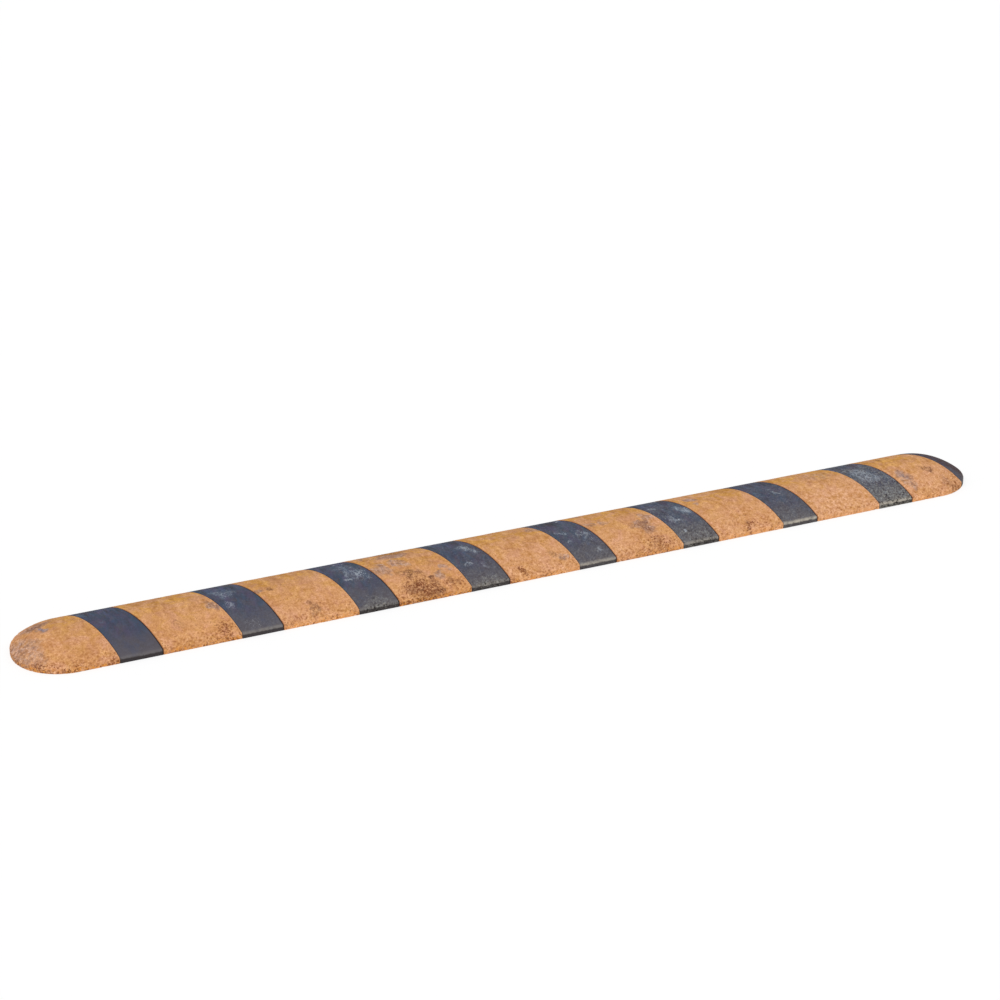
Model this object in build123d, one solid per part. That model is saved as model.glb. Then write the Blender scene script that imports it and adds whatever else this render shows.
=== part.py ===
from build123d import *
from math import radians, tan
import os

# Speed bump made of rubber modules: a long dome on a low lip, with round ends, cut by slanted joints.
# +X runs along the bump, +Y across it and +Z up. The origin is on the ground under its middle.
# Sizes are in millimetres and angles in degrees.

# Outer form
bump_width = 300.0
bump_height = 68.0
lip_height = 17.0
lip_round = 5.0

# Modules, measured along X
stripe_pairs = 8
dark_length = 122.0
yellow_length = 226.0
joint_angle = 17.0
first_joint = 66.0  # from the centre of the left round end to the first joint, on the centreline
last_joint = 40.0  # from the centre of the right round end to the last joint, on the centreline
last_joint_angle = 26.0
joint_edge_round = 1.5

# Cored pockets in the underside
pocket_width = 90.0
pocket_corner_round = 8.0
crown_wall = 22.0
end_wall = 26.0
anchor_web = 64.0

# Coupling dowels
dowel_diameter = 12.0
dowel_length = 60.0
dowel_chamfer = 1.0
dowel_height = 22.0
dowel_spread = 160.0
dowel_clearance = 0.25
dowel_end_gap = 1.0
tip_dowel_spread = 60.0
tip_dowel_shift = 18.0  # the tip's joint face is off centre, so its dowels are too

# Anchor sleeves
sleeve_bore = 17.0
sleeve_wall = 3.5
sleeve_length = 42.0
sleeve_clearance = 0.15

# Bonding pads
pad_thickness = 2.0
pad_width = 44.0
pad_edge_margin = 14.0
pad_joint_margin = 10.0
pad_clearance = 0.5

# Places worked out from the sizes above
pitch = dark_length + yellow_length
straight_length = stripe_pairs * pitch
end_radius = bump_width / 2
left_centre = -straight_length / 2
right_centre = straight_length / 2
beyond_left = left_centre - bump_width
beyond_right = right_centre + bump_width
sleeve_radius = sleeve_bore / 2 + sleeve_wall
half_turn = 180.0
tolerance = 1e-3


def dome_section():
    """The cross-section: a circular arc on a lip, with the corner between them rounded."""
    base = Polyline(
        (-end_radius, lip_height),
        (-end_radius, 0),
        (end_radius, 0),
        (end_radius, lip_height),
    )
    crown = ThreePointArc((end_radius, lip_height), (0, bump_height), (-end_radius, lip_height))
    face = make_face(Curve() + [base, crown])
    corners = [v for v in face.vertices() if abs(v.Y - lip_height) < tolerance]
    return fillet(corners, lip_round)


def whole_bump():
    """The outer form in one piece: a straight bar with half a turn of the same section at each end."""
    section = Plane.YZ.offset(left_centre) * dome_section()
    bar = extrude(section, straight_length)
    far_side = Pos(left_centre, end_radius, 0) * Box(bump_width, bump_width, 2 * bump_height)
    left_end = revolve(section & far_side, Axis((left_centre, 0, 0), (0, 0, 1)), half_turn)
    right_end = Rot(0, 0, half_turn) * left_end
    return bar + left_end + right_end


def at_tip(joint):
    """Only the last joint lies on the right round end."""
    return joint > right_centre


def joint_place(joint, y):
    """The X at a given Y of the joint line that crosses the centreline at joint."""
    angle = last_joint_angle if at_tip(joint) else joint_angle
    return joint - tan(radians(angle)) * y


def slanted_plan(left, right, width):
    """A plan outline between two joint lines that cross the centreline at left and right."""
    half = width / 2
    outline = Polyline(
        (joint_place(left, -half), -half),
        (joint_place(right, -half), -half),
        (joint_place(right, half), half),
        (joint_place(left, half), half),
        close=True,
    )
    return make_face(outline)


def joint_edges(module, joint):
    """The edges of a module that lie in a joint plane, apart from the one on the ground."""
    chosen = []
    for edge in module.edges():
        points = [edge @ 0, edge @ 0.5, edge @ 1]
        in_plane = all(abs(p.X - joint_place(joint, p.Y)) < tolerance for p in points)
        on_ground = all(p.Z < tolerance for p in points)
        if in_plane and not on_ground:
            chosen.append(edge)
    return chosen


def module_blank(bump, left, right):
    """One module of the bump, with the upper edges of its joint faces rounded."""
    slab = extrude(slanted_plan(left, right, 2 * bump_width), 2 * bump_height)
    module = bump & slab
    edges = joint_edges(module, left) + joint_edges(module, right)
    return fillet(edges, joint_edge_round)


def pocket(left, right):
    """A cored pocket, open below, with rounded corners."""
    plan = slanted_plan(left, right, pocket_width)
    plan = fillet(plan.vertices(), pocket_corner_round)
    return extrude(plan, bump_height - crown_wall)


def dowel_places(joint):
    """The centres of the two dowels across a joint."""
    spread = tip_dowel_spread if at_tip(joint) else dowel_spread
    shift = tip_dowel_shift if at_tip(joint) else 0.0
    sides = [shift - spread / 2, shift + spread / 2]
    return [Pos(joint_place(joint, y), y, dowel_height) for y in sides]


def dowel_bores(joint):
    """The blind bores for the dowels of a joint, each one solid that reaches into both modules."""
    radius = dowel_diameter / 2 + dowel_clearance
    bore = Rot(0, 90, 0) * Cylinder(radius, dowel_length + 2 * dowel_end_gap)
    return [place * bore for place in dowel_places(joint)]


def dowels(joint):
    """The two dowels of a joint, with chamfered ends."""
    rod = Cylinder(dowel_diameter / 2, dowel_length)
    rod = chamfer(rod.edges().filter_by(GeomType.CIRCLE), dowel_chamfer)
    rod = Rot(0, 90, 0) * rod
    return Compound([place * rod for place in dowel_places(joint)])


def anchor_sleeve(x):
    """A steel tube that stands on the ground and is seated against the roof of its socket."""
    ring = Circle(sleeve_radius) - Circle(sleeve_bore / 2)
    return Pos(x, 0, 0) * extrude(ring, sleeve_length)


def anchor_socket(x):
    """The room for an anchor sleeve in the underside of a module."""
    return Pos(x, 0, 0) * extrude(Circle(sleeve_radius + sleeve_clearance), sleeve_length)


def pad_strips(left, right, growth):
    """The strips along the edges of a module's underside, grown by a clearance for their recess."""
    outer = end_radius - pad_edge_margin + growth
    inner = end_radius - pad_edge_margin - pad_width - growth
    margin = pad_joint_margin - growth
    ring = SlotCenterToCenter(straight_length, 2 * outer) - SlotCenterToCenter(straight_length, 2 * inner)
    slab = extrude(slanted_plan(left + margin, right - margin, 2 * bump_width), pad_thickness)
    return extrude(ring, pad_thickness) & slab


def module_spans():
    """Each module's name with the places of its two joints on the centreline, from left to right."""
    joint = left_centre + first_joint
    spans = [("yellow_end_module", beyond_left, joint)]
    for number in range(1, stripe_pairs + 1):
        dark_right = joint + dark_length
        yellow_right = joint + pitch if number < stripe_pairs else right_centre + last_joint
        spans.append((f"dark_module_{number}", joint, dark_right))
        spans.append((f"yellow_module_{number}", dark_right, yellow_right))
        joint = yellow_right
    spans.append(("dark_end_module", joint, beyond_right))
    return spans


def has_anchor(name):
    """Every yellow module but the end one is pinned to the road."""
    return name.startswith("yellow_module")


def anchor_place(left):
    """The X of the anchor in a yellow module that starts at left, so that all anchors keep one pitch."""
    return left + yellow_length / 2


def module_cores(name, left, right):
    """The pockets and the anchor socket taken out of a module's underside. End modules are solid."""
    if has_anchor(name):
        anchor = anchor_place(left)
        cores = [anchor_socket(anchor), pocket(left + end_wall, anchor - anchor_web / 2)]
        if not at_tip(right):
            cores.append(pocket(anchor + anchor_web / 2, right - end_wall))
        return cores
    if name.startswith("dark_module"):
        return [pocket(left + end_wall, right - end_wall)]
    return []


def finished_module(bump, name, left, right):
    """A module with everything taken out that its other pieces need."""
    cuts = module_cores(name, left, right)
    for joint in (left, right):
        if beyond_left < joint < beyond_right:
            cuts += dowel_bores(joint)
    cuts.append(pad_strips(left, right, pad_clearance))
    return module_blank(bump, left, right) - cuts


def save(shape, name):
    """Write the solids of one node."""
    shape.label = name
    export_step(shape, f"parts/{name}.step")


def main():
    os.makedirs("parts", exist_ok=True)
    bump = whole_bump()
    spans = module_spans()
    for name, left, right in spans:
        save(finished_module(bump, name, left, right), name)
        save(pad_strips(left, right, 0.0), f"{name}_pads")
    inner_joints = [left for name, left, right in spans[1:]]
    for number, joint in enumerate(inner_joints, start=1):
        save(dowels(joint), f"joint_{number}_dowels")
    sleeves = [anchor_sleeve(anchor_place(left)) for name, left, right in spans if has_anchor(name)]
    save(Compound(sleeves), "anchor_sleeves")


main()
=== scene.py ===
# Looks for the speed bump: worn yellow and dark rubber modules, with their pads, dowels and sleeves.
# Lengths are in metres, in the frame of the solids: +X along the bump, +Y across it and +Z up.

from functools import partial, reduce
import math

import bmesh
import bpy
import numpy as np
from mathutils import Matrix, Vector, noise


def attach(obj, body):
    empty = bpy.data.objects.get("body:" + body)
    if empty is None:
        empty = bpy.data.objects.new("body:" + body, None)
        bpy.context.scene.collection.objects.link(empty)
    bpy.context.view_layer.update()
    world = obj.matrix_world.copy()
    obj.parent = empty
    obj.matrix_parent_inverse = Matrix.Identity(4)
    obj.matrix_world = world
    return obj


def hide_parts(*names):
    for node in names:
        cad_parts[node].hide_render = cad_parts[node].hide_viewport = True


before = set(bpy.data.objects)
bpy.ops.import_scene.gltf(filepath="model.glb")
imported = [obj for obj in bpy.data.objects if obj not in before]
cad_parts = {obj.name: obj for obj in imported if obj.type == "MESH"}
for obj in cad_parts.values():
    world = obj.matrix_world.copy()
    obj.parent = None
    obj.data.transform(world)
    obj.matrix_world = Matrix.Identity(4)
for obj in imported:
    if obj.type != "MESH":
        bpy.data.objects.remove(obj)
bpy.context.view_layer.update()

mm = 0.001

# Outer form, as in the solids
half_width = 150 * mm
crest_height = 68 * mm
lip_height = 17 * mm
lip_round = 5 * mm

# Modules along X
stripe_pairs = 8
dark_length = 122 * mm
yellow_length = 226 * mm
joint_angle = math.radians(17)
first_joint = 66 * mm
last_joint = 40 * mm
last_joint_angle = math.radians(26)
joint_round = 1.5 * mm
joint_gap = 0.3 * mm

# Hollows in the undersides
pocket_width = 90 * mm
pocket_corner = 8 * mm
pocket_depth = 46 * mm
end_wall = 26 * mm
anchor_web = 64 * mm
bore_radius = 6.25 * mm
bore_length = 62 * mm
dowel_height = 22 * mm
dowel_spread = 160 * mm
tip_dowel_spread = 60 * mm
tip_dowel_shift = 18 * mm
recess_depth = 2 * mm
recess_outer = 136.5 * mm
recess_inner = 91.5 * mm
recess_margin = 9.5 * mm
socket_radius = 12.15 * mm
below_ground = -5 * mm

# Anchor sleeves
sleeve_inner = 8.5 * mm
sleeve_outer = 12 * mm
sleeve_length = 42 * mm
sleeve_edge = 0.5 * mm

# Fineness of the modelled shapes
grid_step = 2 * mm
lip_rows = 8
corner_rows = 6
edge_columns = 6
pocket_corner_points = 6
recess_step = 4 * mm
bore_sides = 32
sleeve_sides = 64
merge_distance = 0.001 * mm
module_sharp_angle = math.radians(55)
sleeve_sharp_angle = math.radians(30)

# Relief of the skin: its heights, and its noises with their scales in features to the metre
crumb_fractal = (0.9, 2.0, 3, 0.9, 1.6)  # dimension, step between octaves, octaves, offset and gain
crumb_middle = 0.6
yellow_crumb_scale = 120
dark_crumb_scale = 150
swell_scale = 14
pit_scale = 85
nick_scale = 110
crest_grain = 0.3 * mm
flank_grain = 0.6 * mm
smooth_grain = 0.08 * mm
crust_grain = 0.6 * mm
yellow_swell = 0.35 * mm
dark_swell = 0.3 * mm
pit_depth = 1.2 * mm
pit_levels = (0.2, 0.5)
pit_shade = 0.8
nick_depth = 0.9 * mm
nick_levels = (0.3, 0.6)

# Bands where the relief comes in or fades, measured from the spine, the ground or a joint
flank_band = (40 * mm, 145 * mm)
pit_band = (12 * mm, 34 * mm)
lip_start_band = (4 * mm, 12 * mm)
lip_stop_band = (19 * mm, 26 * mm)
crust_band = (20 * mm, 50 * mm)
joint_band = (0.3 * mm, 4 * mm)

# Edges of marks wander by noises of these reaches and scales
wander_noises = ((16 * mm, 26), (7 * mm, 80))
turned_below = -40 * mm
edge_fade = 3 * mm

# How marks and tones show in the paint
skin_blend = 8 * mm
roof_blend = 2 * mm
grain_level = 0.66
grain_gain = 0.4
wash_gain = 1.2
tone_shares = (0.75, 1.0, 1.33)  # of red, green and blue

# Noises of the two rubbers: scale, detail, roughness and, for some, distortion
yellow_noises = {
    "cloud": (11, 4, 0.6), "hue": (24, 6, 0.65, 0.6), "patch": (36, 5, 0.65),
    "mottle": (85, 4, 0.65), "grain": (190, 4, 0.7), "fine": (400, 2, 0.6),
}
dark_noises = {
    "cloud": (14, 4, 0.6), "hue": (22, 6, 0.65, 0.6), "patch": (60, 5, 0.7),
    "flecks": (170, 4, 0.7), "grain": (420, 2, 0.6),
}

# Places worked out from the sizes above
pitch = dark_length + yellow_length
left_centre = -stripe_pairs * pitch / 2
right_centre = stripe_pairs * pitch / 2
rise = crest_height - lip_height
crown_radius = (rise**2 + half_width**2) / (2 * rise)
crown_centre = crest_height - crown_radius
corner_radius = half_width - lip_round
corner_height = crown_centre + math.sqrt((crown_radius - lip_round) ** 2 - corner_radius**2)
corner_sweep = math.atan2(corner_height - crown_centre, corner_radius)
near, far = -1, 1


def numbered(kind, *values):
    """A value for each numbered module of a kind."""
    return {f"{kind}_{number}": value for number, value in enumerate(values, start=1)}


# Dust over each module's flanks, and how pale its lip is: wear, painted light on the lip face and a
# painted highlight on the lip edge
dust_level = {
    **numbered("dark_module", 0.0, 0.1, 0.15, 0.25, 0.3, 0.5, 0.35, 1.0),
    **numbered("yellow_module", 0.0, 0.25, 0.1, 0.5, 0.4, 0.5, 1.0, 0.7),
    "dark_end_module": 0.15,
    "yellow_end_module": 0.1,
}
lip_wear_and_light = {
    **numbered("dark_module", 0.05, 0.2, 0.08, 0.22, 0.62, 0.38, 0.95, 0.85),
    **numbered("yellow_module", 0.0, 0.9, 0.0, 0.3, 0.0, 0.9, 0.5, 0.6),
}

# Marks on the modules, by kind, in millimetres: start and stop along the module from its left joint, start
# and stop across it, and strength. The yellow end module is measured from its right joint.
marks = {
    "yellow_end_module": {
        "bruise": [
            (-262, -148, -128, 72, 0.48), (-138, -107, -5, 62, 0.55), (-124, -104, -2, 32, 0.95),
            (-165, -70, 26, 90, 0.6),
        ],
        "stain": [(-160, -60, 24, 84, 0.5)],
        "specks": [
            (-229, -191, -147, -97, 0.54), (-206, -146, -169, -131, 0.78), (-160, -92, -178, -142, 0.36),
        ],
        "dust": [(-240, -10, -112, 72, 0.4)],
    },
    "dark_module_1": {
        "haze": [(16, 44, -36, -4, 0.6), (-2, 22, 34, 66, 0.9)],
    },
    "yellow_module_1": {
        "stain": [(58, 112, -106, -74, 0.4), (190, 230, -62, -18, 0.46)],
        "dust": [(88, 148, -176, -132, 0.6)],
        "specks": [(158, 222, -152, -108, 0.5)],
        "bruise": [(186, 230, -68, -12, 0.55)],
    },
    "dark_module_2": {
        "haze": [(0, 85, -32, 72, 0.65)],
        "scuffs": [
            (10, 80, -25, 45, 0.36), (32, 50, -2, 22, 0.45), (12, 40, -72, -28, 0.41),
            (16, 70, -148, -113, 0.3),
        ],
    },
    "yellow_module_2": {
        "stain": [
            (26, 62, -24, 3, 0.5), (0, 20, -34, -16, 0.45), (90, 126, -148, -94, 0.48),
            (84, 98, -12, 2, 0.4), (78, 92, -98, -82, 0.5),
        ],
        "bruise": [(0, 22, -36, -14, 0.5)],
        "specks": [(204, 225, -152, -128, 0.65)],
    },
    "dark_module_3": {
        "haze": [(28, 117, -72, 24, 0.6), (4, 112, 0, 66, 0.55)],
        "scuffs": [
            (36, 104, -6, 44, 0.34), (30, 115, -72, 22, 0.43), (68, 107, -52, -8, 0.5),
            (24, 52, -62, -48, 0.48),
        ],
        "dust": [(-5, 127, -176, -122, 0.6)],
    },
    "yellow_module_3": {
        "bruise": [
            (-4, 64, -74, 4, 0.6), (56, 160, 18, 72, 0.65), (66, 124, -42, 22, 0.5),
            (140, 181, -112, -79, 0.55), (176, 200, -88, -58, 0.65),
        ],
        "stain": [
            (44, 140, -98, -48, 0.52), (22, 156, -180, -84, 0.5), (62, 99, -128, -102, 0.7),
            (112, 148, -160, -88, 0.62), (116, 142, -106, -82, 0.8), (158, 214, -152, -104, 0.48),
            (146, 180, -58, -2, 0.35),
        ],
        "specks": [(20, 154, -176, -80, 0.5), (146, 224, -160, -106, 0.38)],
    },
    "dark_module_4": {
        "haze": [(60, 112, -60, 40, 0.5)],
        "scuffs": [(67, 109, -52, 32, 0.45), (70, 99, -97, -74, 0.38), (25, 59, -92, -74, 0.43)],
        "dust": [(-5, 127, -176, -124, 0.65)],
    },
    "yellow_module_4": {
        "stain": [(113, 142, -72, -8, 0.3), (156, 184, -120, -85, 0.42), (196, 222, 20, 60, 0.38)],
        "bruise": [(172, 218, -132, -102, 0.55), (188, 227, 12, 68, 0.45)],
        "specks": [(28, 72, -147, -113, 0.6)],
    },
    "dark_module_5": {
        "haze": [(57, 118, -92, -20, 0.4)],
        "scuffs": [
            (57, 116, -92, -24, 0.38), (60, 112, -67, -33, 0.44), (12, 56, -32, -14, 0.45),
            (12, 41, -82, -63, 0.52), (72, 96, -127, -103, 0.42),
        ],
    },
    "yellow_module_5": {
        "bruise": [
            (0, 44, -22, 12, 0.45), (45, 84, -27, 7, 0.42), (118, 200, -100, -22, 0.5),
            (155, 199, -102, -68, 0.55), (164, 230, -52, -8, 0.55),
        ],
        "stain": [(124, 202, -110, -24, 0.5), (120, 189, -150, -110, 0.4)],
        "specks": [(92, 228, -156, -104, 0.42)],
        "dust": [(-6, 84, -176, -112, 0.9)],
    },
    "dark_module_6": {
        "scuffs": [
            (14, 48, -2, 17, 0.5), (19, 43, -82, -28, 0.43), (27, 65, -84, -70, 0.56),
            (76, 121, -60, 10, 0.52), (34, 58, -122, -108, 0.5),
        ],
        "haze": [(72, 123, -62, 12, 0.85)],
        "dust": [(-5, 127, -190, -76, 0.75)],
    },
    "yellow_module_6": {
        "bruise": [(36, 62, 14, 46, 0.7), (22, 56, -22, 2, 0.5)],
        "stain": [(100, 128, -150, -116, 0.5)],
        "specks": [(80, 160, -150, -125, 0.4), (-10, 236, -146, -56, 0.16)],
    },
    "dark_module_7": {
        "haze": [(6, 40, -42, 12, 0.6)],
        "scuffs": [(56, 85, -22, -3, 0.46), (61, 85, -47, -28, 0.46)],
    },
    "yellow_module_7": {
        "bruise": [(108, 202, -22, 62, 0.32)],
    },
    "dark_module_8": {
        "haze": [(8, 112, -92, 30, 0.52)],
        "scuffs": [(4, 94, -84, 40, 0.46)],
        "soot": [(52, 82, -12, 14, 0.5), (88, 130, 12, 84, 0.6)],
    },
    "yellow_module_8": {
        "bruise": [(18, 60, -96, -40, 0.7), (8, 50, -134, -84, 0.5)],
        "stain": [(122, 159, -82, -44, 0.55), (142, 179, -152, -104, 0.42)],
        "specks": [(140, 226, -150, -110, 0.45)],
    },
    # The whole dark end module is darker all over.
    "dark_end_module": {
        "soot": [(-20, 220, -150, 150, 1.0)],
    },
}
mark_kinds = ("stain", "bruise", "specks", "scuffs", "haze", "dust", "soot")


# Plan and section


def module_spans():
    """Each module's name with its joints on the centreline, and None at a round end."""
    joint = left_centre + first_joint
    spans = [("yellow_end_module", None, joint)]
    for number in range(1, stripe_pairs + 1):
        dark_right = joint + dark_length
        yellow_right = joint + pitch if number < stripe_pairs else right_centre + last_joint
        spans.append((f"dark_module_{number}", joint, dark_right))
        spans.append((f"yellow_module_{number}", dark_right, yellow_right))
        joint = yellow_right
    spans.append(("dark_end_module", joint, None))
    return spans


def at_tip(joint):
    """Only the last joint lies on the right round end."""
    return joint > right_centre


def joint_lean(joint):
    """How far a joint line is turned from square across the bump."""
    return last_joint_angle if at_tip(joint) else joint_angle


def joint_place(joint, y):
    """The X at a given Y of the joint line that crosses the centreline at joint."""
    return joint - math.tan(joint_lean(joint)) * y


def outline_point(side, run, radius):
    """Plan points at a radius from the spine. run goes along the spine and on round the ends."""
    over = run - np.clip(run, left_centre, right_centre)
    turn = over / half_width
    return run - over + radius * np.sin(turn), side * radius * np.cos(turn)


def joint_run(joint, side, radius):
    """Where a joint line meets the outline at that radius."""
    straight = joint_place(joint, side * radius)
    if straight <= right_centre:
        return straight
    lean = joint_lean(joint)
    turn = math.asin((joint - right_centre) * math.cos(lean) / radius) - side * lean
    return right_centre + half_width * turn


def tip_run(side, end):
    """Where the outlines of both sides meet at a round end: -1 is the left end and 1 the right."""
    centre = right_centre if end > 0 else left_centre
    lean = last_joint_angle if end > 0 else joint_angle
    return centre + end * half_width * (math.pi / 2 - side * end * lean)


def outline_ends(left, right, side, radius):
    """The start and stop of a module's outline on one side."""
    start = tip_run(side, -1) if left is None else joint_run(left, side, radius)
    stop = tip_run(side, 1) if right is None else joint_run(right, side, radius)
    return start, stop


def band_profile():
    """The lip and its rounded corner, from the ground up: radius, height and slope of the normal."""
    rows = [(half_width, z, 0.0) for z in np.linspace(0, corner_height, lip_rows)]
    for slope in np.linspace(0, corner_sweep, corner_rows)[1:]:
        radius = corner_radius + lip_round * math.cos(slope)
        rows.append((radius, corner_height + lip_round * math.sin(slope), slope))
    return rows


def column_shares(left, right):
    """Shares of the way along a module, close together at its rounded joint edges."""
    start, stop = outline_ends(left, right, near, half_width)
    length = stop - start
    edge = joint_round * (1 - np.cos(np.linspace(0, math.pi / 2, edge_columns))) / length
    first = 0.0 if left is None else edge[-1]
    last = 1.0 if right is None else 1 - edge[-1]
    shares = np.linspace(first, last, round(length / grid_step))
    if left is not None:
        shares = np.concatenate([edge[:-1], shares])
    if right is not None:
        shares = np.concatenate([shares, 1 - edge[-2::-1]])
    return shares


def from_spine(x, y):
    """The plan offset of points from the nearest place on the spine."""
    return np.stack([x - np.clip(x, left_centre, right_centre), y], axis=-1)


def skin_rows(left, right):
    """Rows of points and normals from the near ground edge over the crest to the far one."""
    shares = column_shares(left, right)
    bands = {}
    for side in (near, far):
        bands[side] = []
        for radius, z, slope in band_profile():
            start, stop = outline_ends(left, right, side, radius)
            x, y = outline_point(side, start + shares * (stop - start), radius)
            outward = from_spine(x, y) / radius
            points = np.column_stack([x, y, np.full_like(x, z)])
            rising = np.full_like(x, math.sin(slope))
            bands[side].append((points, np.column_stack([outward * math.cos(slope), rising])))
    crown = []
    near_edge = bands[near][-1][0]
    far_edge = bands[far][-1][0]
    for share in np.linspace(0, 1, round(2 * half_width / grid_step))[1:-1]:
        points = near_edge + share * (far_edge - near_edge)
        offset = from_spine(points[:, 0], points[:, 1])
        above = np.sqrt(crown_radius**2 - (offset**2).sum(axis=1))
        points[:, 2] = crown_centre + above
        crown.append((points, np.column_stack([offset, above]) / crown_radius))
    rows = bands[near] + crown + bands[far][::-1]
    return np.array([r[0] for r in rows]), np.array([r[1] for r in rows])


# Wear and relief of the skin


def noise_at(points, scale, shift, measure):
    """A noise read at every point, with features about 1 / scale metres across."""
    return np.array([measure(Vector(p)) for p in points * scale + shift])


def ramp(value, low, high):
    """A smooth step from 0 at low to 1 at high."""
    t = np.clip((value - low) / (high - low), 0, 1)
    return t * t * (3 - 2 * t)


def ridges(v):
    return noise.ridged_multi_fractal(v, *crumb_fractal)


def wandering(values, points, shifts):
    """Values moved about by noise, so that no mark laid out by them is a plain oval."""
    for (reach, scale), shift in zip(wander_noises, shifts):
        values = values + reach * noise_at(points, scale, shift, noise.noise)
    return values


def oval(along, across, start, stop, low, high):
    """1 in the middle of an oval mark, fading out past its rim."""
    apart = ((2 * along / mm - start - stop) / (stop - start)) ** 2
    apart += ((2 * across / mm - low - high) / (high - low)) ** 2
    return np.exp(-apart**2)


def mark_masks(name, left, right, points):
    """How much of each kind of mark lies on every point. Low marks are repeated on the far flank."""
    origin = right if left is None else left
    along = points[:, 0] - joint_place(origin, points[:, 1])
    along = wandering(along, points, ((2.9, 0.4, 7.3), (0.2, 5.8, 1.6)))
    across = wandering(points[:, 1], points, ((6.5, 8.1, 3.9), (4.4, 2.7, 9.2)))
    turned = along if None in (left, right) else (right - left) - along
    masks = {kind: np.zeros(len(points)) for kind in mark_kinds}
    for kind, places in marks[name].items():
        for start, stop, low, high, strength in places:
            spread = oval(along, across, start, stop, low, high)
            if high * mm < turned_below:
                spread = np.maximum(spread, oval(turned, -across, start, stop, low, high))
            masks[kind] = np.maximum(masks[kind], strength * spread)
    masks["dust"] = np.maximum(masks["dust"], dust_level[name])
    return masks


def joint_distance(joint, ahead, points):
    """How far points are from a joint plane: on its right where ahead is 1, on its left where it is -1."""
    if joint is None:
        return np.full(len(points), half_width)
    along = ahead * (points[:, 0] - joint_place(joint, points[:, 1]))
    return np.clip(along * math.cos(joint_lean(joint)), 0, None)


def kept_in_plane(joint, gap, points, moved):
    """Slide moved points next to a joint back to the plane that they came from."""
    beside = gap < 2 * joint_round
    shift = moved[:, 1] - points[:, 1]
    moved[beside, 0] = (points[:, 0] - math.tan(joint_lean(joint)) * shift)[beside]


def crumbs(points, scale, shift):
    """Ridged noise spread over 0 to 1, from the gaps between crumbs to their tops."""
    value = noise_at(points, scale, shift, ridges)
    low, high = np.percentile(value, [3, 97])
    return np.clip((value - low) / (high - low), 0, 1)


def yellow_relief(points, low):
    """Crumbly grain, coarse low on the flanks and fine on the crest, with pits near the ground."""
    crumb = crumbs(points, yellow_crumb_scale, (3.1, 7.7, 1.3))
    swell = noise_at(points, swell_scale, (1.7, 4.2, 9.5), noise.noise)
    pit = ramp(noise_at(points, pit_scale, (8.4, 2.6, 5.1), noise.noise), *pit_levels)
    at_ground = 1 - ramp(points[:, 2], *pit_band)
    height = (crumb - crumb_middle) * (crest_grain + flank_grain * low) + yellow_swell * swell
    height -= pit_depth * pit * at_ground
    # In the pits the relief that the paint reads drops, so the painted shade of the crumb gaps gathers
    # there.
    return height, crumb * (1 - pit_shade * pit * at_ground)


def dark_relief(points, dust):
    """Smooth rubber with nicks along the lip, and a lumpy crust where dust has gathered."""
    crumb = crumbs(points, dark_crumb_scale, (5.3, 1.9, 6.6))
    swell = noise_at(points, swell_scale, (6.1, 3.4, 2.5), noise.noise)
    nick = ramp(noise_at(points, nick_scale, (2.2, 9.1, 4.7), noise.noise), *nick_levels)
    at_lip = ramp(points[:, 2], *lip_start_band) * (1 - ramp(points[:, 2], *lip_stop_band))
    at_foot = 1 - ramp(points[:, 2], *crust_band)
    grain = smooth_grain + crust_grain * dust * at_foot
    height = (crumb - crumb_middle) * grain + dark_swell * swell
    height -= nick_depth * nick * at_lip
    return height, crumb


def worn_skin(name, left, right):
    """A module's skin with rounded joint edges and relief, and the values that its material reads for wear
    and for painted shade and highlights.
    """
    rows, normals = skin_rows(left, right)
    points = rows.reshape(-1, 3)
    normals = normals.reshape(-1, 3)
    from_left = joint_distance(left, 1, points)
    from_right = joint_distance(right, -1, points)
    apart = np.minimum(from_left, from_right)
    masks = mark_masks(name, left, right, points)
    offset = np.linalg.norm(from_spine(points[:, 0], points[:, 1]), axis=1)
    low = ramp(offset, *flank_band)
    if name.startswith("yellow"):
        height, relief = yellow_relief(points, low)
    else:
        height, relief = dark_relief(points, masks["dust"])
    height *= ramp(apart, *joint_band)
    inside = np.clip(joint_round - apart, 0, None)
    drop = joint_round - np.sqrt(joint_round**2 - inside**2)
    moved = points + normals * (height - drop)[:, None]
    moved[:, 2] = np.clip(moved[:, 2], 0, None)
    for joint, gap in ((left, from_left), (right, from_right)):
        if joint is not None:
            kept_in_plane(joint, gap, points, moved)
    # Nearness to each joint, where the paint lays shade in the gaps and a highlight on the rounded edge.
    edges = {"left_edge": np.exp(-from_left / edge_fade), "right_edge": np.exp(-from_right / edge_fade)}
    lip = np.full(len(points), lip_wear_and_light.get(name, 0.0))
    return moved.reshape(rows.shape), {**masks, "relief": relief, **edges, "lip_wear_and_light": lip}


# Meshes


def skin_faces(shape, left, right):
    """Faces of the closed module: the skin, the joint faces and the underside."""
    index = np.arange(np.prod(shape)).reshape(shape)
    corners = (index[:-1, :-1], index[:-1, 1:], index[1:, 1:], index[1:, :-1])
    faces = np.stack(corners, axis=-1).reshape(-1, 4).tolist()
    if left is not None:
        faces.append(index[:, 0].tolist())
    if right is not None:
        faces.append(index[::-1, -1].tolist())
    faces.append(index[-1].tolist() + index[0, ::-1].tolist())
    return faces


def new_piece(name, data):
    piece = bpy.data.objects.new(name, data)
    bpy.context.scene.collection.objects.link(piece)
    return piece


def clean_mesh(mesh):
    """Merge points that meet at a tip, and turn every face outward."""
    bm = bmesh.new()
    bm.from_mesh(mesh)
    bmesh.ops.remove_doubles(bm, verts=bm.verts, dist=merge_distance)
    bmesh.ops.dissolve_degenerate(bm, edges=bm.edges, dist=merge_distance / 2)
    bmesh.ops.recalc_face_normals(bm, faces=bm.faces)
    bm.to_mesh(mesh)
    bm.free()


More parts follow.
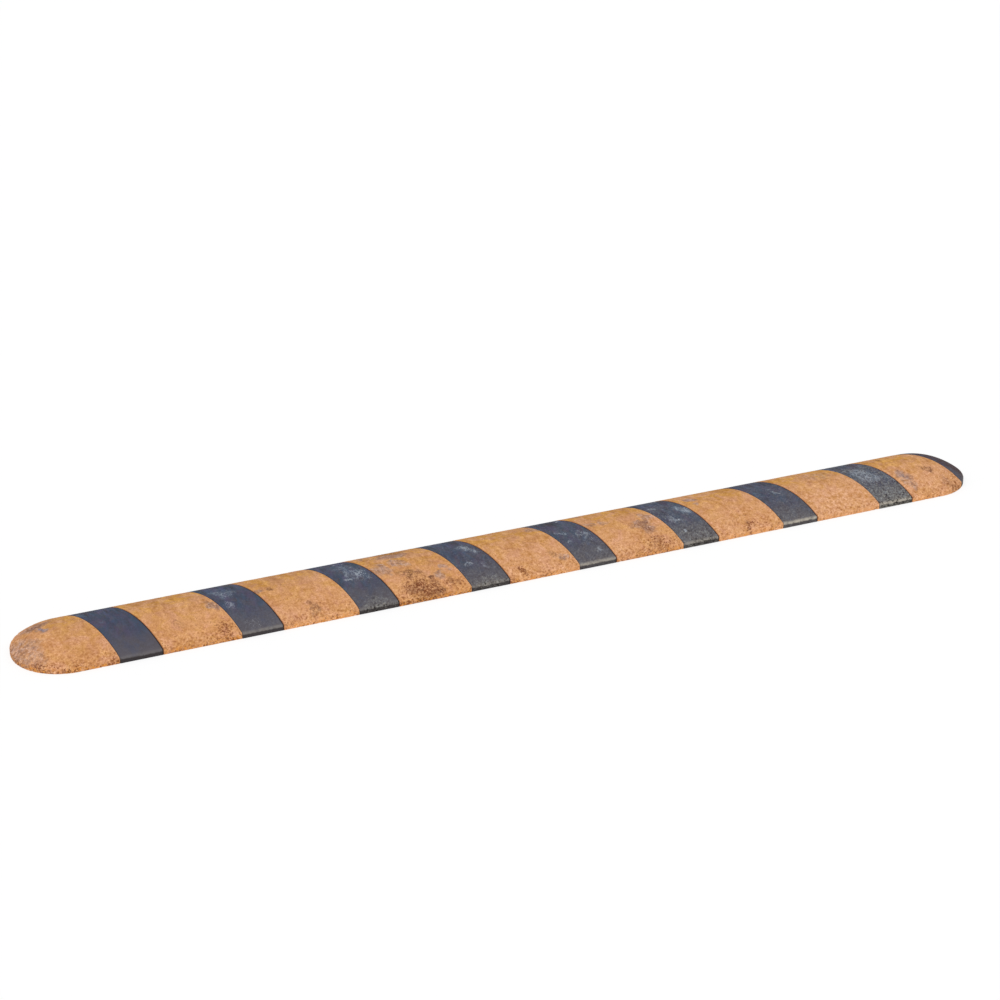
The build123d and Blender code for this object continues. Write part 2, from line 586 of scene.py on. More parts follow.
def module_blank(name, left, right):
    """One module, closed, before its underside is hollowed."""
    rows, wear = worn_skin(name, left, right)
    faces = skin_faces(rows.shape[:2], left, right)
    mesh = bpy.data.meshes.new(f"{name}_worn")
    mesh.from_pydata(rows.reshape(-1, 3).tolist(), [], faces)
    for kind, values in wear.items():
        layer = mesh.attributes.new(kind, "FLOAT", "POINT")
        layer.data.foreach_set("value", values.astype(np.float32))
    clean_mesh(mesh)
    return new_piece(f"{name}_worn", mesh)


def piece_from(bm, name):
    """A piece from closed shells, with every face turned outward."""
    bmesh.ops.recalc_face_normals(bm, faces=bm.faces)
    mesh = bpy.data.meshes.new(name)
    bm.to_mesh(mesh)
    bm.free()
    return new_piece(name, mesh)


def join_rings(bm, first, last):
    """Faces between two rings of points."""
    for i in range(len(first)):
        j = (i + 1) % len(first)
        bm.faces.new((first[i], first[j], last[j], last[i]))


def closed_shell(bm, start, stop):
    """A closed shell from one outline to another that has as many points."""
    first = [bm.verts.new(point) for point in start]
    last = [bm.verts.new(point) for point in stop]
    bm.faces.new(first)
    bm.faces.new(last)
    join_rings(bm, first, last)


def prism(bm, outline, bottom, top):
    """A closed upright prism over a plan outline."""
    closed_shell(bm, [(x, y, bottom) for x, y in outline], [(x, y, top) for x, y in outline])


def circle(radius, count):
    """Points round a circle."""
    turns = np.linspace(0, 2 * math.pi, count, endpoint=False)
    return [(radius * math.cos(t), radius * math.sin(t)) for t in turns]


def rounded_outline(corners, radius):
    """A convex outline with its corners rounded."""
    outline = []
    count = len(corners)
    for i, corner in enumerate(corners):
        here = Vector(corner)
        back = (Vector(corners[i - 1]) - here).normalized()
        ahead = (Vector(corners[(i + 1) % count]) - here).normalized()
        half_angle = back.angle(ahead) / 2
        centre = here + (back + ahead).normalized() * radius / math.sin(half_angle)
        start = here + back * radius / math.tan(half_angle) - centre
        stop = here + ahead * radius / math.tan(half_angle) - centre
        for share in np.linspace(0, 1, pocket_corner_points):
            outline.append(centre + start.slerp(stop, share).normalized() * radius)
    return outline


def pocket_outline(left, right):
    """A slanted pocket between two joint lines."""
    half = pocket_width / 2
    turns = ((left, -half), (right, -half), (right, half), (left, half))
    corners = [(joint_place(joint, y), y) for joint, y in turns]
    return rounded_outline(corners, pocket_corner)


def recess_outlines(left, right):
    """The recesses for the pads along a module's edges. They join up round a tip."""
    left = None if left is None else left + recess_margin
    right = None if right is None else right - recess_margin
    strips = []
    for side in (near, far):
        for radius in (recess_outer, recess_inner):
            start, stop = outline_ends(left, right, side, radius)
            count = max(2, round((stop - start) / recess_step))
            x, y = outline_point(side, np.linspace(start, stop, count), radius)
            strips.append(list(zip(x, y)))
    near_outer, near_inner, far_outer, far_inner = strips
    if left is None:
        return [near_outer[::-1] + far_outer[1:] + far_inner[::-1] + near_inner[1:]]
    if right is None:
        return [near_outer + far_outer[-2::-1] + far_inner + near_inner[-2::-1]]
    return [near_outer + near_inner[::-1], far_outer + far_inner[::-1]]


def dowel_places(joint):
    """The centres of the two dowels across a joint."""
    spread = tip_dowel_spread if at_tip(joint) else dowel_spread
    shift = tip_dowel_shift if at_tip(joint) else 0.0
    return [(joint_place(joint, y), y) for y in (shift - spread / 2, shift + spread / 2)]


def bore(bm, x, y):
    """A dowel's bore, along X and centred on its joint."""
    ring = [(y + a, dowel_height + b) for a, b in circle(bore_radius, bore_sides)]
    start, stop = x - bore_length / 2, x + bore_length / 2
    closed_shell(bm, [(start, a, b) for a, b in ring], [(stop, a, b) for a, b in ring])


def anchor_place(left):
    """The X of the anchor in a yellow module that starts at left."""
    return left + yellow_length / 2


def hollows(name, left, right):
    """All that is taken out of a module's underside and joint faces, as closed shells."""
    bm = bmesh.new()
    for outline in recess_outlines(left, right):
        prism(bm, outline, below_ground, recess_depth)
    for joint in (left, right):
        if joint is not None:
            for x, y in dowel_places(joint):
                bore(bm, x, y)
    pockets = []
    if name.startswith("yellow_module"):
        anchor = anchor_place(left)
        socket = [(anchor + x, y) for x, y in circle(socket_radius, sleeve_sides)]
        prism(bm, socket, below_ground, sleeve_length)
        pockets.append((left + end_wall, anchor - anchor_web / 2))
        if not at_tip(right):
            pockets.append((anchor + anchor_web / 2, right - end_wall))
    if name.startswith("dark_module"):
        pockets.append((left + end_wall, right - end_wall))
    for start, stop in pockets:
        prism(bm, pocket_outline(start, stop), below_ground, pocket_depth)
    return piece_from(bm, f"{name}_hollows")


def carve(piece, cutter):
    """Take a cutter's shells out of a piece for good."""
    cut = piece.modifiers.new("carve", "BOOLEAN")
    cut.operation = "DIFFERENCE"
    cut.solver = "MANIFOLD"
    cut.object = cutter
    graph = bpy.context.evaluated_depsgraph_get()
    carved = bpy.data.meshes.new_from_object(piece.evaluated_get(graph))
    piece.modifiers.clear()
    piece.data = carved
    bpy.data.objects.remove(cutter)


def smooth(piece, sharp_angle):
    """Smooth shading, with edges sharper than the angle left sharp."""
    piece.data.shade_smooth()
    piece.data.set_sharp_from_angle(angle=sharp_angle)


def module(name, left, right):
    """A finished module that stands for its solid."""
    inner_left = None if left is None else left + joint_gap
    inner_right = None if right is None else right - joint_gap
    piece = module_blank(name, inner_left, inner_right)
    carve(piece, hollows(name, left, right))
    smooth(piece, module_sharp_angle)
    return piece


def turned_ring(name, profile):
    """A closed ring, turned about Z from a closed profile of radius and height."""
    bm = bmesh.new()
    rings = []
    for radius, z in profile:
        rings.append([bm.verts.new((x, y, z)) for x, y in circle(radius, sleeve_sides)])
    for i in range(len(rings)):
        join_rings(bm, rings[i], rings[(i + 1) % len(rings)])
    return piece_from(bm, name)


def sleeve(number, x):
    """A steel sleeve with its four edges broken."""
    e = sleeve_edge
    inner, outer, top = sleeve_inner, sleeve_outer, sleeve_length
    profile = [
        (inner + e, 0), (outer - e, 0), (outer, e), (outer, top - e),
        (outer - e, top), (inner + e, top), (inner, top - e), (inner, e),
    ]
    piece = turned_ring(f"anchor_sleeve_{number}", profile)
    piece.data.transform(Matrix.Translation((x, 0, 0)))
    smooth(piece, sleeve_sharp_angle)
    return piece


# Materials


def colour(red, green, blue):
    """A colour as it shows on screen, 0 to 255, in the linear values that nodes take."""
    def linear(c):
        c /= 255
        return c / 12.92 if c <= 0.04045 else ((c + 0.055) / 1.055) ** 2.4
    return (linear(red), linear(green), linear(blue), 1.0)


def set_inputs(tree, node, inputs):
    """Give each named input of a node a value or the output of another node."""
    for socket, value in inputs.items():
        if isinstance(value, bpy.types.NodeSocket):
            tree.links.new(value, node.inputs[socket])
        else:
            node.inputs[socket].default_value = value


def add_node(tree, kind, inputs=None, **settings):
    """A new shader node. Its settings come first, because they decide which inputs it has."""
    node = tree.nodes.new(f"ShaderNode{kind}")
    for name, value in settings.items():
        setattr(node, name, value)
    set_inputs(tree, node, inputs or {})
    return node


class Paint:
    """One node material. Patterns are outputs of nodes, and layers are laid over the base in turn."""

    def __init__(self, name):
        self.material = bpy.data.materials.new(name)
        self.material.use_nodes = True
        self.tree = self.material.node_tree
        self.shader = self.tree.nodes["Principled BSDF"]
        self.base = None
        self.place = self.node("TexCoord", "Object")
        parts = add_node(self.tree, "SeparateXYZ", {"Vector": self.place})
        self.along, self.across, self.height = parts.outputs

    def node(self, kind, output, inputs=None, **settings):
        """One output of a new node."""
        return add_node(self.tree, kind, inputs, **settings).outputs[output]

    def stretched(self, along, across, up):
        """The place scaled along each axis, so that a factor under 1 draws a pattern out."""
        inputs = {"Vector": self.place, "Scale": (along, across, up)}
        return self.node("Mapping", "Vector", inputs)

    def noise(self, scale, detail, roughness, distortion=0.0, place=None):
        inputs = {"Vector": place or self.place, "Scale": scale, "Detail": detail}
        inputs.update({"Roughness": roughness, "Distortion": distortion})
        return self.node("TexNoise", "Fac", inputs)

    def cracks(self, scale, place):
        """How far each point is from the lines of a cracked pattern."""
        inputs = {"Vector": place, "Scale": scale}
        return self.node("TexVoronoi", "Distance", inputs, feature="DISTANCE_TO_EDGE")

    def warped(self, scale, reach, stretch=(1.0, 1.0, 1.0)):
        """The place moved about by noise, so that lines laid over it wander."""
        place = self.stretched(*stretch)
        shift = self.node("TexNoise", "Color", {"Vector": place, "Scale": scale})
        inputs = {0: shift, 1: (reach, reach, reach), 2: place}
        return self.node("VectorMath", "Vector", inputs, operation="MULTIPLY_ADD")

    def fade(self, value, low, high):
        """A smooth step from 0 at low to 1 at high."""
        inputs = {"Value": value, "From Min": low, "From Max": high}
        return self.node("MapRange", "Result", inputs, interpolation_type="SMOOTHSTEP")

    def scale(self, value, low, high):
        """A value from 0 to 1 spread evenly from low to high."""
        inputs = {"Value": value, "To Min": low, "To Max": high}
        return self.node("MapRange", "Result", inputs)

    def math(self, operation, a, b):
        return self.node("Math", "Value", {0: a, 1: b}, operation=operation)

    def plus(self, *values):
        return reduce(partial(self.math, "ADD"), values)

    def times(self, *values):
        return reduce(partial(self.math, "MULTIPLY"), values)

    def rest(self, share):
        """What a share leaves of 1."""
        return self.math("SUBTRACT", 1.0, share)

    def centred(self, pattern):
        """A pattern from 0 to 1, moved so that its middle is 0."""
        return self.math("SUBTRACT", pattern, 0.5)

    def mix(self, share, a, b, blend="MIX"):
        inputs = {"Factor": share, "A": a, "B": b}
        return self.node("Mix", "Result", inputs, data_type="RGBA", blend_type=blend)

    def lay(self, tint, *shares):
        """Lay a tint over the base, as thick as the product of the shares."""
        self.base = self.mix(self.times(*shares), self.base, colour(*tint))

    def bump(self, height, strength, distance):
        inputs = {"Height": height, "Strength": strength, "Distance": distance}
        normal = self.node("Bump", "Normal", inputs)
        set_inputs(self.tree, self.shader, {"Normal": normal})

    def finish(self, roughness, specular=0.5, metallic=0.0):
        inputs = {"Base Color": self.base, "Roughness": roughness}
        inputs.update({"Specular IOR Level": specular, "Metallic": metallic})
        set_inputs(self.tree, self.shader, inputs)
        return self.material


class Rubber(Paint):
    """The paint of a module, with the wear and the places for painted light and shade that its mesh
    carries, and the noises that its layers share.
    """

    def __init__(self, name, noises):
        super().__init__(name)
        self.relief = self.wear("relief")
        self.dust = self.wear("dust")
        self.lip = self.wear("lip_wear_and_light")
        self.outer = self.outer_skin()
        for pattern, recipe in noises.items():
            setattr(self, pattern, self.noise(*recipe))

    def wear(self, name):
        """A value that the mesh carries, for a kind of wear and for painted shade and highlights."""
        return self.node("Attribute", "Fac", attribute_name=name)

    def outer_skin(self):
        """1 on the outer skin, and 0 on the underside, in its hollows and on the joint faces."""
        past_end = self.math("SUBTRACT", self.math("ABSOLUTE", self.along, 0.0), right_centre)
        inputs = {"X": self.math("MAXIMUM", past_end, 0.0), "Y": self.across}
        flat = self.node("CombineXYZ", "Vector", inputs)
        offset = self.node("VectorMath", "Value", {0: flat}, operation="LENGTH")
        inside = self.fade(self.plus(offset, self.height), half_width, half_width - skin_blend)
        low = self.fade(self.height, pocket_depth + roof_blend, pocket_depth - roof_blend)
        return self.rest(self.times(inside, low))

    def grown(self, mask, pattern, soft=0.1):
        """Grains of a pattern that spread as the mask grows from 0 to 1."""
        level = self.plus(pattern, self.times(mask, grain_gain))
        return self.times(self.fade(level, grain_level, grain_level + soft), self.fade(mask, 0.0, 0.15))

    def wash(self, mask, pattern):
        """A soft-edged spread of a mark, thicker and thinner with a pattern."""
        level = self.plus(mask, self.times(self.centred(pattern), wash_gain))
        return self.times(self.fade(level, 0.05, 0.65), self.fade(mask, 0.02, 0.35))

    def held(self, pattern, share):
        """A pattern with only a share of its contrast left."""
        return self.plus(0.5, self.times(self.centred(pattern), share))

    def tone(self, pattern, depth):
        """Make the base lighter and darker by a pattern, up to depth each way, and keep its hue."""
        channels = [share * depth for share in tone_shares]
        dark = [1 - c for c in channels] + [1.0]
        light = [1 + c for c in channels] + [1.0]
        self.base = self.mix(1.0, self.base, self.mix(pattern, dark, light), "MULTIPLY")

    def smear(self, scale, crest, depth):
        """Light and dark smears over the crest, drawn out across the bump."""
        smears = self.noise(scale, 5, 0.7, 0.3, self.stretched(1.0, 0.3, 0.3))
        self.tone(self.held(smears, crest), depth)

    def streak(self, depth):
        """Long light and dark streaks across the bump, just past its crest."""
        streaks = self.fade(self.noise(60, 4, 0.7, 0.0, self.stretched(1.0, 0.1, 0.1)), 0.3, 0.7)
        near_side = self.fade(self.across, 10 * mm, 50 * mm)
        far_side = self.fade(self.across, 140 * mm, 70 * mm)
        self.tone(self.held(streaks, self.times(near_side, far_side)), depth)

    def earth(self, tint, amount):
        """Patches of earth on the faces that are hidden in use."""
        self.lay(tint, self.rest(self.outer), self.fade(self.patch, 0.3, 0.7), amount)


# Yellow rubber


def sheen_share(p):
    """Where a golden sheen is painted: over the crest and past it, where the skin is seen at a grazing
    angle, with ragged edges.
    """
    lifted = p.times(p.fade(p.across, 40 * mm, 75 * mm), 16 * mm)
    ragged_height = p.plus(p.height, p.times(p.patch, 20 * mm), lifted)
    beyond = p.fade(p.across, -30 * mm, 40 * mm)
    ragged_across = p.plus(p.across, p.times(p.centred(p.hue), 140 * mm))
    far_side = p.fade(ragged_across, 140 * mm, 60 * mm)
    return p.times(p.fade(ragged_height, 63 * mm, 77 * mm), p.scale(beyond, 0.25, 1.0), far_side)


def yellow_ground(p):
    """Orange-yellow that drifts in hue, with pale dust and a painted golden sheen over the crest."""
    p.base = p.mix(p.fade(p.cloud, 0.35, 0.65), colour(201, 143, 92), colour(209, 153, 106))
    p.lay((206, 149, 124), p.fade(p.hue, 0.5, 0.64), 0.45)
    p.lay((203, 149, 84), p.fade(p.hue, 0.5, 0.36), 0.5)
    golden = sheen_share(p)
    dusty = p.times(p.dust, p.fade(p.mottle, 0.35, 0.65), p.rest(golden))
    p.lay((217, 165, 128), dusty, 0.85)
    # Painted sheen: golden over the crest and past it.
    sheen_golds = p.mix(p.fade(p.hue, 0.56, 0.4), colour(199, 147, 104), colour(203, 148, 72))
    p.base = p.mix(p.times(golden, 0.9), p.base, sheen_golds)


def yellow_crumbs(p):
    """Painted shade in the gaps between the crumbs and painted highlights on their tops, a pale lip face
    that is painted light lifting its shade, and earth on the hidden faces.
    """
    foot = p.fade(p.height, 58 * mm, 16 * mm)
    # Painted shade in the crumb gaps and painted highlights on the crumb tops, both following the relief.
    p.lay((156, 98, 56), p.fade(p.relief, 0.45, 0.05), p.scale(foot, 0.1, 0.6))
    p.lay((232, 181, 136), p.fade(p.relief, 0.6, 0.95), p.scale(foot, 0.1, 0.5))
    # Painted light on the lip face, lifting its shade, by each module's lip level.
    p.lay((244, 184, 132), p.outer, p.fade(p.height, 20 * mm, 14 * mm), p.scale(p.lip, 0.15, 0.5))
    p.earth((152, 116, 84), 0.7)


def yellow_marks(p):
    """Grey bruises and brown stains."""
    bruise = p.wear("bruise")
    frayed = p.noise(130, 5, 0.75, 0.8, p.stretched(1.0, 0.6, 0.7))
    thinned = p.scale(p.fade(frayed, 0.4, 0.6), 1.0, 0.5)
    bruised = p.times(p.wash(bruise, p.noise(60, 6, 0.7, 0.5)), thinned)
    greys = p.mix(p.fade(p.mottle, 0.4, 0.6), colour(150, 118, 104), colour(182, 150, 134))
    greys = p.mix(p.fade(bruise, 0.55, 0.9), greys, colour(140, 130, 140))
    p.base = p.mix(bruised, p.base, greys)
    speckled = p.scale(p.fade(p.grain, 0.6, 0.4), 0.1, 0.5)
    stained = p.times(p.wash(p.wear("stain"), p.noise(70, 6, 0.75, 0.6)), speckled)
    p.lay((144, 102, 80), stained)


def yellow_mottle(p):
    """Lighter and darker patches from broad to fine, with smears and streaks over the crest."""
    rough_spots = p.scale(p.fade(p.cloud, 0.4, 0.6), 1.1, 0.65)
    p.tone(p.held(p.patch, rough_spots), 0.35)
    p.tone(p.held(p.mottle, rough_spots), 0.45)
    p.tone(p.grain, 0.55)
    p.tone(p.fine, 0.5)
    p.smear(70, p.fade(p.height, 50 * mm, 67 * mm), 0.6)
    p.streak(0.2)


def yellow_freckles(p):
    """Brown freckles, and the dark cores and creases of stains."""
    freckles = p.times(p.fade(p.noise(230, 3, 0.65, 0.4), 0.58, 0.7), p.fade(p.patch, 0.38, 0.6))
    flank = p.fade(p.height, 64 * mm, 44 * mm)
    p.lay((134, 80, 48), freckles, p.scale(flank, 0.6, 0.95))
    stain = p.wear("stain")
    p.lay((98, 62, 48), p.grown(p.times(stain, 0.7), p.noise(140, 6, 0.8, 0.8)), 0.6)
    lines = p.fade(p.cracks(70, p.warped(70, 24 * mm)), 0.2, 0.05)
    p.lay((92, 56, 42), lines, p.fade(p.patch, 0.4, 0.55), p.fade(stain, 0.3, 0.6), 0.75)


def yellow_foot(p):
    """Gilt patches at the ground, and dark pits and specks low on the flanks."""
    ground = p.fade(p.height, 20 * mm, 4 * mm)
    gilt = p.times(p.outer, ground, p.fade(p.noise(150, 4, 0.7), 0.45, 0.58))
    p.lay((220, 146, 60), gilt, p.scale(p.dust, 0.9, 0.3))
    pitted = p.times(p.fade(p.height, 44 * mm, 4 * mm), p.scale(p.fade(p.cloud, 0.35, 0.65), 0.25, 0.65))
    pitted = p.times(p.outer, pitted, p.scale(p.dust, 1.0, 0.5), p.scale(p.lip, 1.0, 0.7))
    grime = p.times(p.outer, p.fade(p.height, 16 * mm, 3 * mm), p.scale(p.dust, 0.48, 0.1))
    specks = p.math("MAXIMUM", p.wear("specks"), p.times(grime, p.fade(p.patch, 0.35, 0.6)))
    dots = p.grown(p.math("MAXIMUM", pitted, specks), p.noise(165, 4, 0.7, 0.5), 0.08)
    p.lay((112, 57, 29), dots, 0.8)


def yellow_edges(p):
    """A pale rim along the right joint, wear with a painted highlight on the rounded edge, and painted
    shade along the left joint.
    """
    p.lay((226, 176, 132), p.outer, p.fade(p.wear("right_edge"), 0.3, 0.9), p.scale(p.grain, 0.2, 0.8))
    p.lay((128, 70, 44), p.outer, p.fade(p.wear("left_edge"), 0.35, 0.9), 0.6)


def yellow_rubber():
    """Faded yellow rubber: a painted golden sheen over the crest, pale and crumbly low down with painted
    shade and highlights in the crumbs, stained and scuffed.
    """
    p = Rubber("yellow_rubber", yellow_noises)
    yellow_ground(p)
    for layer in (yellow_crumbs, yellow_marks, yellow_mottle, yellow_freckles, yellow_foot, yellow_edges):
        layer(p)
    roughness = p.scale(p.plus(p.times(p.grain, 0.5), p.times(p.patch, 0.5)), 0.75, 1.0)
    p.bump(p.plus(p.times(p.grain, 0.7), p.times(p.fine, 0.3)), 0.5, 1.2 * mm)
    return p.finish(roughness, specular=0.08)


# Dark rubber


def dark_crest(p):
    return p.fade(p.height, 36 * mm, 66 * mm)


def past_crest(p):
    return p.fade(p.across, 15 * mm, 60 * mm)


def dust_film(p):
    """Dust that thins out on the crest and past it."""
    foot = p.fade(p.height, 56 * mm, 22 * mm)
    return p.times(p.dust, p.scale(foot, 0.7, 1.0), p.scale(past_crest(p), 1.0, 0.3))


def dark_ground(p):
    """Slate that is bluer on the crest, darker past it and warmer low down, and drifts in hue; the bluer
    crest is a painted sky reflection and the darker far side is painted shade.
    """
    # Painted reflection and shade: the crest is bluer and the far flank past it is darker.
    p.base = p.mix(dark_crest(p), colour(83, 80, 88), colour(64, 69, 90))
    p.lay((50, 56, 76), past_crest(p), 0.85)
    p.lay((86, 88, 98), p.fade(p.cloud, 0.35, 0.7), 0.35)
    p.lay((68, 74, 96), p.fade(p.hue, 0.5, 0.64), 0.4)
    p.lay((86, 80, 86), p.fade(p.hue, 0.5, 0.36), 0.5)
    p.lay((100, 93, 92), p.fade(p.height, 36 * mm, 16 * mm), p.scale(p.dust, 0.2, 0.7))


def dark_dust(p):
    """A film of dust, with pale crusts and dark cracks in it."""
    film = dust_film(p)
    p.lay((112, 111, 110), film, p.fade(p.patch, 0.3, 0.6), 0.65)
    p.lay((150, 150, 142), film, p.fade(p.relief, 0.45, 0.9), p.fade(p.flecks, 0.42, 0.58), 0.8)
    p.lay((38, 38, 38), film, p.fade(p.relief, 0.4, 0.05), p.fade(p.patch, 0.62, 0.42), 0.9)


def dark_mottle(p):
    """Lighter and darker flecks, strongest in the dust, with smears, streaks and tints over the crest."""
    rough_spots = p.scale(p.dust, 0.5, 1.2)
    for pattern, depth in ((p.patch, 0.35), (p.flecks, 0.45), (p.grain, 0.5)):
        p.tone(p.held(pattern, rough_spots), depth)
    crest = dark_crest(p)
    p.smear(80, crest, 0.65)
    p.streak(0.45)
    tint = p.noise(48, 5, 0.7, 0.4, p.stretched(1.0, 0.4, 0.4))
    tinted = p.times(crest, p.scale(dust_film(p), 0.38, 0.1))
    p.lay((90, 75, 102), tinted, p.fade(tint, 0.5, 0.62))
    p.lay((54, 82, 102), tinted, p.fade(tint, 0.5, 0.38))


def dark_marks(p):
    """Pale haze and scuffs, and brown soot."""
    p.lay((94, 108, 126), p.grown(p.wear("haze"), p.noise(95, 6, 0.75, 0.8), 0.2), 0.55)
    scuffs = p.wear("scuffs")
    frayed = p.noise(210, 5, 0.75, 2.0, p.stretched(1.0, 0.6, 0.8))
    strokes = p.fade(p.cracks(38, p.warped(45, 30 * mm, (1.0, 0.6, 0.8))), 0.12, 0.02)
    strokes = p.times(strokes, p.fade(scuffs, 0.25, 0.5), 0.7)
    scuff = p.math("MAXIMUM", p.grown(p.times(scuffs, 0.85), frayed), strokes)
    p.lay((172, 179, 188), scuff, 0.75)
    p.lay((68, 50, 50), p.grown(p.wear("soot"), p.noise(90, 6, 0.75, 0.6), 0.2), 0.85)


def dark_lip(p):
    """A dark lip face, which is painted shade, under a pale edge that has wear and a painted highlight on
    its rounded corner, with chips and crumbs where dust has gathered.
    """
    ragged_height = p.plus(p.height, p.times(p.centred(p.flecks), 8 * mm))
    # Painted shade on the lip face, lighter where the lip level is higher.
    p.lay((50, 44, 43), p.fade(ragged_height, 14 * mm, 10 * mm), p.scale(p.lip, 0.85, 0.4))
    # The pale lip edge: wear, with a painted highlight along the rounded corner.
    lip_edge = p.times(p.fade(ragged_height, 9 * mm, 13 * mm), p.fade(ragged_height, 22 * mm, 15 * mm))
    worn = p.times(lip_edge, p.scale(p.lip, 0.06, 0.9), p.fade(p.patch, 0.25, 0.55))
    p.lay((186, 178, 164), worn)
    near_ground = p.fade(p.height, 30 * mm, 15 * mm)
    grit = p.times(p.outer, p.dust, 0.6, near_ground, p.scale(worn, 1.0, 0.3))
    p.lay((34, 31, 30), p.grown(grit, p.noise(110, 4, 0.75, 0.5), 0.08), 0.85)
    loose = p.noise(150, 4, 0.75, 0.5, p.stretched(1.0, 1.3, 1.3))
    p.lay((170, 165, 152), p.grown(p.times(grit, 0.75), loose, 0.12), 0.5)


def dark_edges(p):
    """Painted shade in the joint gaps, and earth on the hidden faces."""
    # Painted shade in the gaps at the joints, stronger along the right joint.
    gap_shade = p.math("MAXIMUM", p.times(p.wear("left_edge"), 0.42), p.wear("right_edge"))
    p.lay((30, 22, 22), p.outer, p.fade(gap_shade, 0.2, 0.6))
    p.earth((96, 88, 80), 0.6)


def dark_rubber():
    """Slate rubber with a satin skin and a painted sky reflection over the crest, dusty at the foot,
    scuffed above, and with wear, painted shade and a painted highlight at the lip.
    """
    p = Rubber("dark_rubber", dark_noises)
    for layer in (dark_ground, dark_dust, dark_mottle, dark_marks, dark_lip, dark_edges):
        layer(p)
    roughness = p.scale(p.plus(p.times(p.grain, 0.4), p.times(p.patch, 0.6)), 0.55, 0.95)
    p.bump(p.plus(p.times(p.flecks, 0.5), p.times(p.grain, 0.4)), 0.35, 0.8 * mm)
    return p.finish(roughness, specular=0.1)


# Pads, dowels and sleeves


def bonding_pad():
    """Black tacky pad with a fine cloth print and grey dust."""
    p = Paint("bonding_pad")
    dust = p.noise(60, 5, 0.7)
    weave = p.noise(900, 2, 0.5)
    p.base = p.mix(p.fade(dust, 0.4, 0.75), colour(38, 36, 35), colour(74, 70, 66))
    p.lay((20, 19, 18), p.scale(weave, 0.0, 0.3))
    p.bump(weave, 0.4, 0.2 * mm)
    return p.finish(p.scale(dust, 0.55, 0.9), specular=0.3)


def drawn_steel(name, bright, dull, stretch):
    """Steel with drawing marks along its length and a dull bloom."""
    p = Paint(name)
    streaks = p.noise(1, 3, 0.6, 0.0, p.stretched(*stretch))
    bloom = p.noise(90, 5, 0.65)
    p.base = p.mix(p.fade(bloom, 0.35, 0.7), bright, dull)
    p.base = p.mix(p.scale(streaks, 0.0, 0.35), p.base, dull)
    p.bump(streaks, 0.3, 0.1 * mm)
    return p.finish(p.scale(bloom, 0.28, 0.55), metallic=1.0)


# Pieces

spans = module_spans()
rubber = {"yellow": yellow_rubber(), "dark": dark_rubber()}
pad_material = bonding_pad()
dowel_material = drawn_steel("dowel_steel", colour(188, 188, 186), colour(120, 118, 114), (40, 900, 900))
sleeve_material = drawn_steel("sleeve_steel", colour(176, 178, 180), colour(112, 112, 112), (900, 900, 40))


def dress(piece, material):
    """Give a piece its material and the slot that it takes its finish from."""
    piece.data.materials.clear()
    piece.data.materials.append(material)


for name, left, right in spans:
    shade = name.split("_")[0]
    piece = module(name, left, right)
    dress(piece, rubber[shade])
    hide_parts(name)
    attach(piece, "root")
    dress(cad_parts[f"{name}_pads"], pad_material)

for number in range(1, len(spans)):
    dress(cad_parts[f"joint_{number}_dowels"], dowel_material)

anchored = [anchor_place(left) for name, left, right in spans if name.startswith("yellow_module")]
for number, place in enumerate(anchored, start=1):
    piece = sleeve(number, place)
    dress(piece, sleeve_material)
    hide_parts("anchor_sleeves")
    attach(piece, "root")


# Stage, light and camera

floor_size = 60.0
floor_drop = 0.2 * mm
floor_white = (0.85, 0.85, 0.85, 1.0)
floor_glow = 1.1
backdrop_share = 0.65
world_strength = 0.62
sun_strength = 1.6
sun_spread = math.radians(40)
sun_place = Vector((-3.2, -4.0, 5.0))
camera_target = Vector((0.10888, 0.40701, 0.0))
camera_azimuth = math.radians(-24.731)
camera_elevation = math.radians(24.070)
camera_distance = 7.1510
camera_lens = 81.79
camera_reach = 200.0
sensor_width = 36.0


def seen_directly(tree):
    """1 for rays from the camera, or mirrored or bent on their way to it, and 0 for other light."""
    path = add_node(tree, "LightPath")
    result = path.outputs["Is Camera Ray"]
    for ray in ("Is Glossy Ray", "Is Transmission Ray"):
        inputs = {0: result, 1: path.outputs[ray]}
        result = add_node(tree, "Math", inputs, operation="MAXIMUM").outputs[0]
    return result


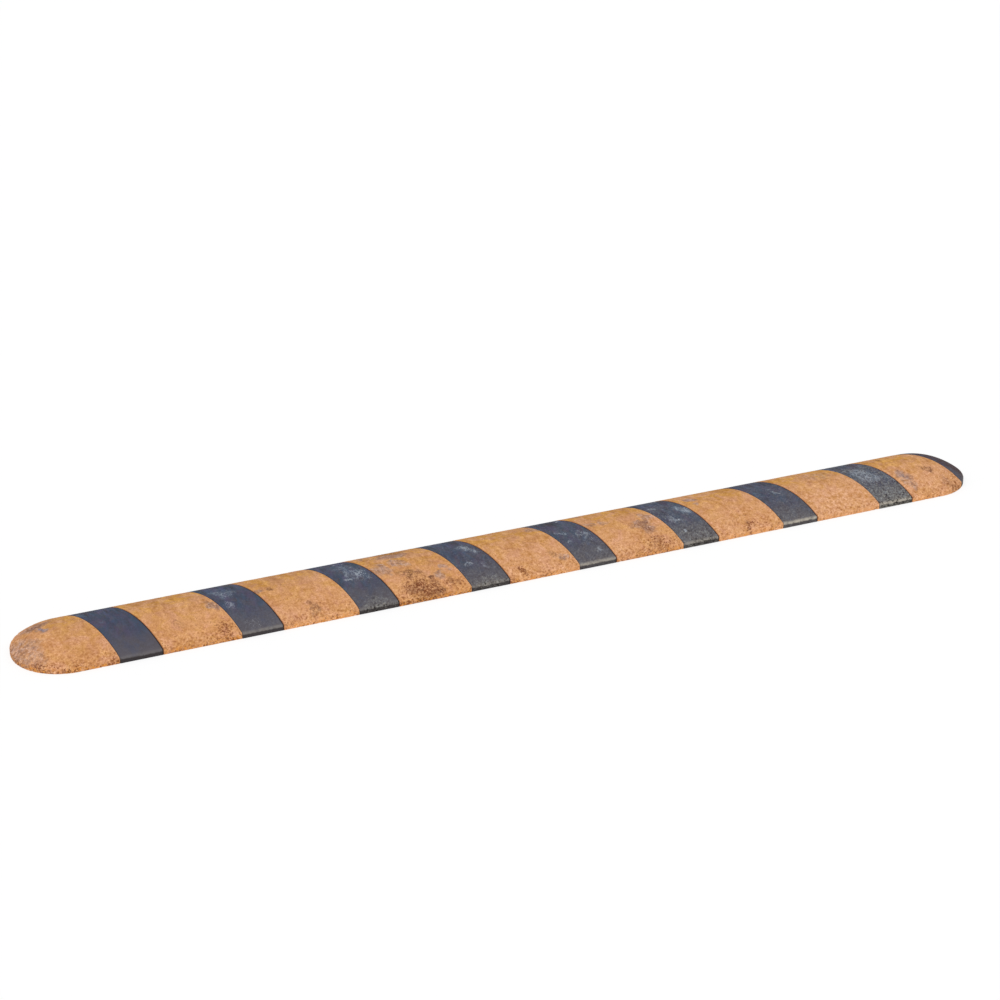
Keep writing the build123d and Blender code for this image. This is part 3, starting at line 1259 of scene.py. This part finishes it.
def floor_material():
    """Pale floor that takes a soft shadow and goes to white behind the object."""
    material = bpy.data.materials.new("floor")
    material.use_nodes = True
    tree = material.node_tree
    tree.nodes.remove(tree.nodes["Principled BSDF"])
    matt = add_node(tree, "BsdfDiffuse", {"Color": floor_white})
    glow = add_node(tree, "Emission", {"Strength": floor_glow})
    inputs = {0: seen_directly(tree), 1: backdrop_share}
    share = add_node(tree, "Math", inputs, operation="MULTIPLY")
    inputs = {"Fac": share.outputs[0], 1: matt.outputs[0], 2: glow.outputs[0]}
    mix = add_node(tree, "MixShader", inputs)
    set_inputs(tree, tree.nodes["Material Output"], {"Surface": mix.outputs[0]})
    return material


def make_floor():
    half = floor_size / 2
    mesh = bpy.data.meshes.new("floor")
    corners = [(-half, -half), (half, -half), (half, half), (-half, half)]
    mesh.from_pydata([(x, y, -floor_drop) for x, y in corners], [], [(0, 1, 2, 3)])
    mesh.materials.append(floor_material())
    floor = new_piece("floor", mesh)


def make_world():
    """A sky that is white where it is seen directly, and lights the object at a plain level."""
    world = bpy.data.worlds.new("studio")
    world.use_nodes = True
    tree = world.node_tree
    inputs = {"Value": seen_directly(tree), "To Min": world_strength}
    level = add_node(tree, "MapRange", inputs)
    inputs = {"Color": (1.0, 1.0, 1.0, 1.0), "Strength": level.outputs["Result"]}
    set_inputs(tree, tree.nodes["Background"], inputs)
    bpy.context.scene.world = world


def make_sun():
    """One wide, soft lamp from the front left."""
    light = bpy.data.lights.new("soft_sun", "SUN")
    light.energy = sun_strength
    light.angle = sun_spread
    lamp = new_piece("soft_sun", light)
    lamp.location = sun_place
    lamp.rotation_euler = (-sun_place).to_track_quat("-Z", "Y").to_euler()


def make_camera():
    camera_data = bpy.data.cameras.new("camera")
    camera_data.sensor_width = sensor_width
    camera_data.lens = camera_lens
    camera_data.clip_end = camera_reach
    camera = new_piece("camera", camera_data)
    back = Vector((
        math.sin(camera_azimuth) * math.cos(camera_elevation),
        -math.cos(camera_azimuth) * math.cos(camera_elevation),
        math.sin(camera_elevation),
    ))
    camera.location = camera_target + back * camera_distance
    camera.rotation_euler = (-back).to_track_quat("-Z", "Y").to_euler()
    bpy.context.scene.camera = camera


make_floor()
make_world()
make_sun()
make_camera()
bpy.context.scene.view_settings.view_transform = "Standard"
